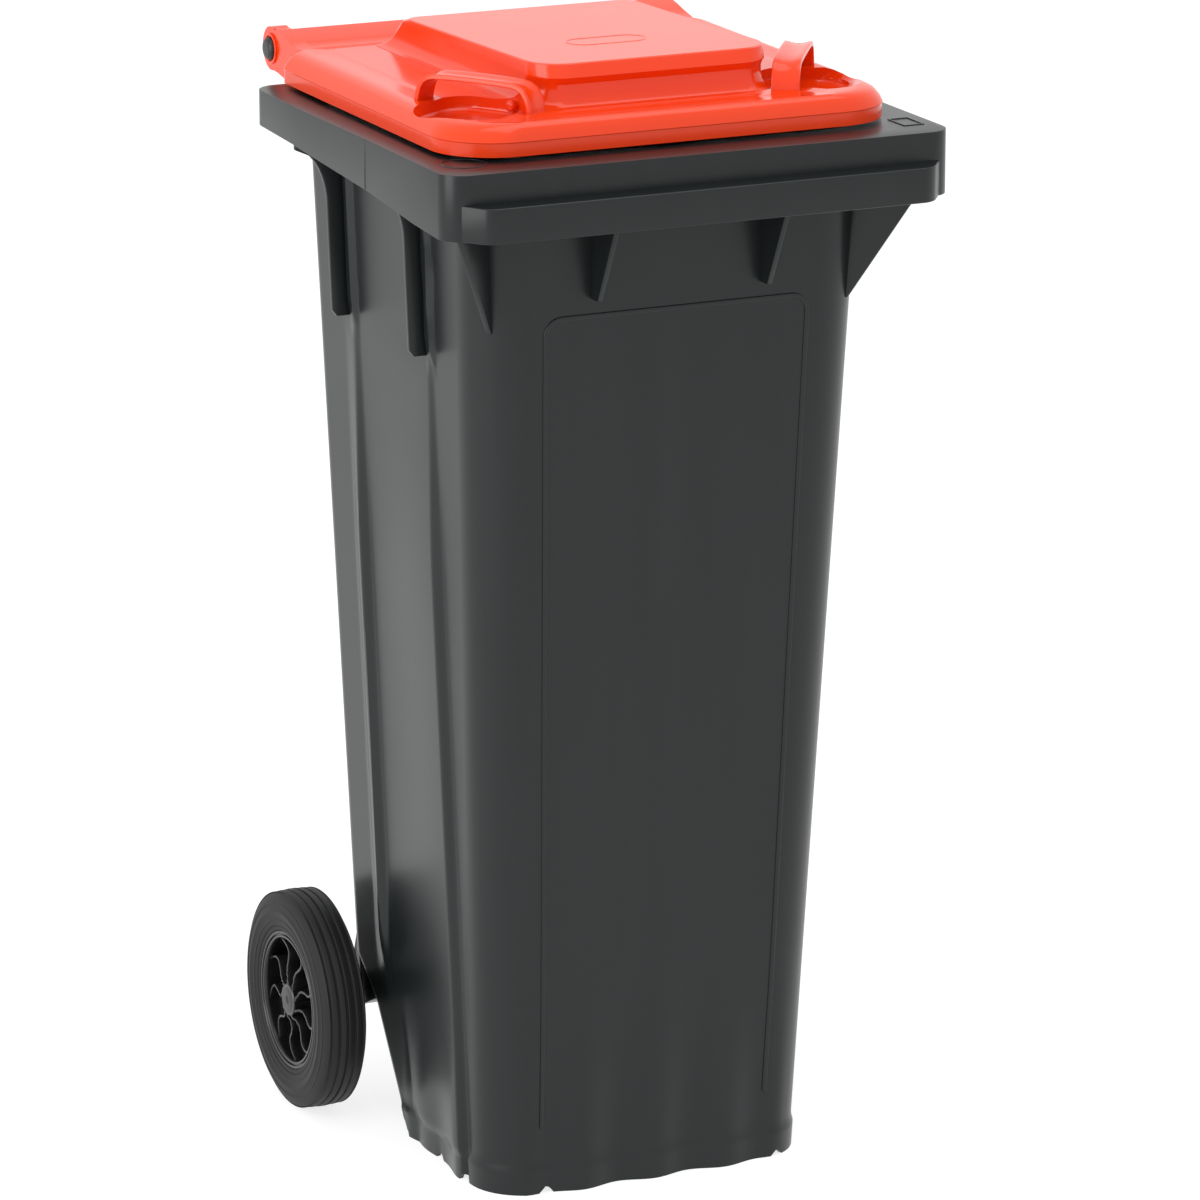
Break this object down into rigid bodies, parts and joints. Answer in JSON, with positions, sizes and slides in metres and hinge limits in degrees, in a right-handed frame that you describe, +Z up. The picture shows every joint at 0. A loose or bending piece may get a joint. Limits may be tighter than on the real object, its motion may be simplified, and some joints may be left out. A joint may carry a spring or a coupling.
{
  "type": "wheelie bin",
  "caption": "Two-wheeled refuse bin: tapered plastic tub with comb rim, swing-over lid with corner grips, rear handle bar, rubber-tyred wheels on a steel axle.",
  "frame": {"origin": "on the ground under the middle of the bin's overall box", "axes": "+Z up, -Y towards the front with the comb band, +Y towards the handle and wheels, +X to the right as seen from the front; width is the shortest extent and height the longest"},
  "size_m": [0.48, 0.54, 1.028],
  "materials": {
    "body_plastic": "semi-gloss anthracite moulded polyethylene with a fine grain",
    "lid_plastic": "glossy orange-red moulded polyethylene",
    "pin_plastic": "black moulded nylon, satin",
    "wheel_plastic": "glossy black moulded polypropylene",
    "tyre_rubber": "solid black rubber, matt",
    "axle_steel": "zinc-plated steel",
    "ring_steel": "spring steel"
  },
  "bodies": {
    "bin": {"bin_body": "body_plastic", "hinge_pin_left": "pin_plastic", "hinge_pin_right": "pin_plastic", "axle": "axle_steel", "axle_washer_left": "axle_steel", "axle_washer_right": "axle_steel", "retaining_ring_left": "ring_steel", "retaining_ring_right": "ring_steel"},
    "lid": {"lid": "lid_plastic"},
    "wheel_left": {"wheel_rim_left": "wheel_plastic", "tyre_left": "tyre_rubber", "hub_cap_left": "wheel_plastic"},
    "wheel_right": {"wheel_rim_right": "wheel_plastic", "tyre_right": "tyre_rubber", "hub_cap_right": "wheel_plastic"}
  },
  "joints": [
    {"name": "lid_hinge", "type": "hinge", "parent": "bin", "child": "lid", "pos_m": [0, 0.25, 0.981], "axis": [-1, 0, 0], "range_deg": [0, 265]},
    {"name": "wheel_left_spin", "type": "hinge", "parent": "bin", "child": "wheel_left", "pos_m": [-0.2075, 0.1675, 0.1025], "axis": [1, 0, 0], "continuous": true},
    {"name": "wheel_right_spin", "type": "hinge", "parent": "bin", "child": "wheel_right", "pos_m": [0.2075, 0.1675, 0.1025], "axis": [1, 0, 0], "continuous": true}
  ]
}
